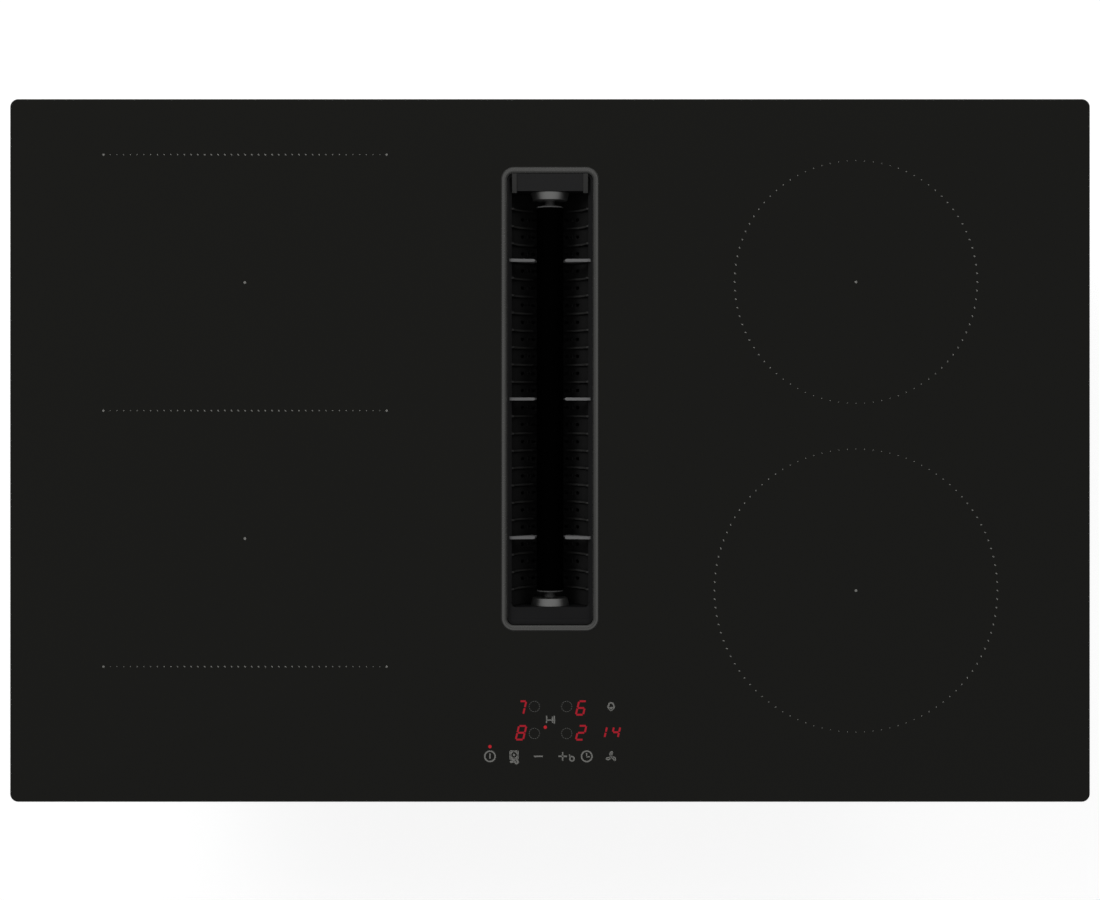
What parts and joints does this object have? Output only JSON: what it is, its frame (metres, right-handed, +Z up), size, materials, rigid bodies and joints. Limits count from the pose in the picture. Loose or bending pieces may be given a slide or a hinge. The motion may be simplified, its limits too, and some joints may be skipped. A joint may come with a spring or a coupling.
{
  "type": "downdraft induction cooktop",
  "caption": "Flush black glass induction cooktop with a central extractor slot, lift-out filter insert, radial fan housing and flat duct outlet below.",
  "frame": {"origin": "under the centre of the glass, at the level of the lowest face of the ventilation housing", "axes": "+X along the width of the glass, +Y towards the back with the duct outlet, +Z up out of the glass"},
  "size_m": [0.802, 0.522, 0.2246],
  "materials": {
    "black_glass": "polished black glass-ceramic",
    "seal_foam": "closed-cell foam strip",
    "silicone": "black silicone",
    "damper_rubber": "moulded rubber",
    "zinc_sheet": "zinc-coated sheet steel",
    "dark_bezel": "dark anodised",
    "basket_plastic": "fine-grained moulded",
    "bar_plastic": "grey moulded",
    "grip_black": "black satin",
    "cap_grey": "grey moulded",
    "steel_rod": "drawn rod",
    "bright_boss": "turned and polished",
    "filter_mesh": "perforated grease filter sheet",
    "tray_plastic": "moulded",
    "housing_plastic": "fine-grained moulded",
    "screw_steel": "zinc plated",
    "spring_steel": "spring sheet",
    "carrier_sheet": "mill finish",
    "copper_winding": "stranded copper wire",
    "former_plastic": "heat-resistant moulded",
    "ferrite": "sintered ferrite",
    "insulation": "ceramic fibre blanket",
    "sensor_ceramic": "unglazed",
    "circuit_board": "green solder mask",
    "sink_aluminium": "extruded",
    "white_plastic": "moulded",
    "wheel_plastic": "moulded",
    "display_red": "red display window",
    "gland_plastic": "moulded",
    "motor_metal": "die cast",
    "tank_plastic": "translucent grey"
  },
  "bodies": {
    "hob": {"glass_panel": "black_glass", "glass_seal": "seal_foam", "well_gasket": "seal_foam", "tank_seal": "seal_foam", "inlet_frame_seal": "silicone", "outlet_seal": "silicone", "motor_dampers": "damper_rubber", "support_frame": "zinc_sheet", "base_tray": "zinc_sheet", "inlet_frame": "dark_bezel", "inlet_well": "housing_plastic", "tray_screws": "screw_steel", "spring_screws": "screw_steel", "housing_screws": "screw_steel", "worktop_springs": "spring_steel", "coil_carrier_left": "carrier_sheet", "coil_carrier_right": "carrier_sheet", "coil_front_left": "copper_winding", "coil_rear_left": "copper_winding", "coil_front_right": "copper_winding", "coil_rear_right": "copper_winding", "coil_formers": "former_plastic", "coil_ferrites": "ferrite", "coil_blankets": "insulation", "temperature_sensors": "sensor_ceramic", "power_board_left": "circuit_board", "power_board_right": "circuit_board", "mains_filter_board": "circuit_board", "control_board": "circuit_board", "heat_sinks": "sink_aluminium", "board_standoffs": "white_plastic", "blower_housing_left": "housing_plastic", "blower_housing_right": "housing_plastic", "control_housing": "housing_plastic", "display_modules": "display_red", "touch_springs": "spring_steel", "terminal_box": "housing_plastic", "terminal_block": "white_plastic", "terminal_cover": "housing_plastic", "cable_gland": "gland_plastic", "upper_housing": "housing_plastic", "fan_deck": "housing_plastic", "lower_housing": "housing_plastic", "fan_nozzle": "wheel_plastic", "motor_base": "motor_metal", "outlet_collar": "housing_plastic"},
    "filter_insert": {"filter_basket": "basket_plastic", "cross_bars": "bar_plastic", "grip_tube": "grip_black", "grip_end_caps": "cap_grey", "grip_axle": "steel_rod", "end_bosses": "bright_boss", "grease_filter_left": "filter_mesh", "grease_filter_right": "filter_mesh", "condensate_tray": "tray_plastic"},
    "fan_wheel": {"impeller": "wheel_plastic", "motor_rotor": "motor_metal"},
    "left_blower_wheel": {"blower_wheel_left": "wheel_plastic"},
    "right_blower_wheel": {"blower_wheel_right": "wheel_plastic"},
    "tank": {"overflow_tank": "tank_plastic"}
  },
  "joints": [
    {"name": "filter_lift", "type": "slide", "parent": "hob", "child": "filter_insert", "axis": [0, 0, 1], "range_m": [0, 0.12]},
    {"name": "fan_spin", "type": "hinge", "parent": "hob", "child": "fan_wheel", "pos_m": [-0.095, -0.07, 0.03], "axis": [0, 0, 1], "continuous": true},
    {"name": "left_blower_spin", "type": "hinge", "parent": "hob", "child": "left_blower_wheel", "pos_m": [-0.262, -0.128, 0.17], "axis": [0, 0, 1], "continuous": true},
    {"name": "right_blower_spin", "type": "hinge", "parent": "hob", "child": "right_blower_wheel", "pos_m": [0.262, -0.128, 0.17], "axis": [0, 0, 1], "continuous": true},
    {"name": "tank_drop", "type": "slide", "parent": "hob", "child": "tank", "axis": [0, 0, -1], "range_m": [0, 0.1]}
  ]
}
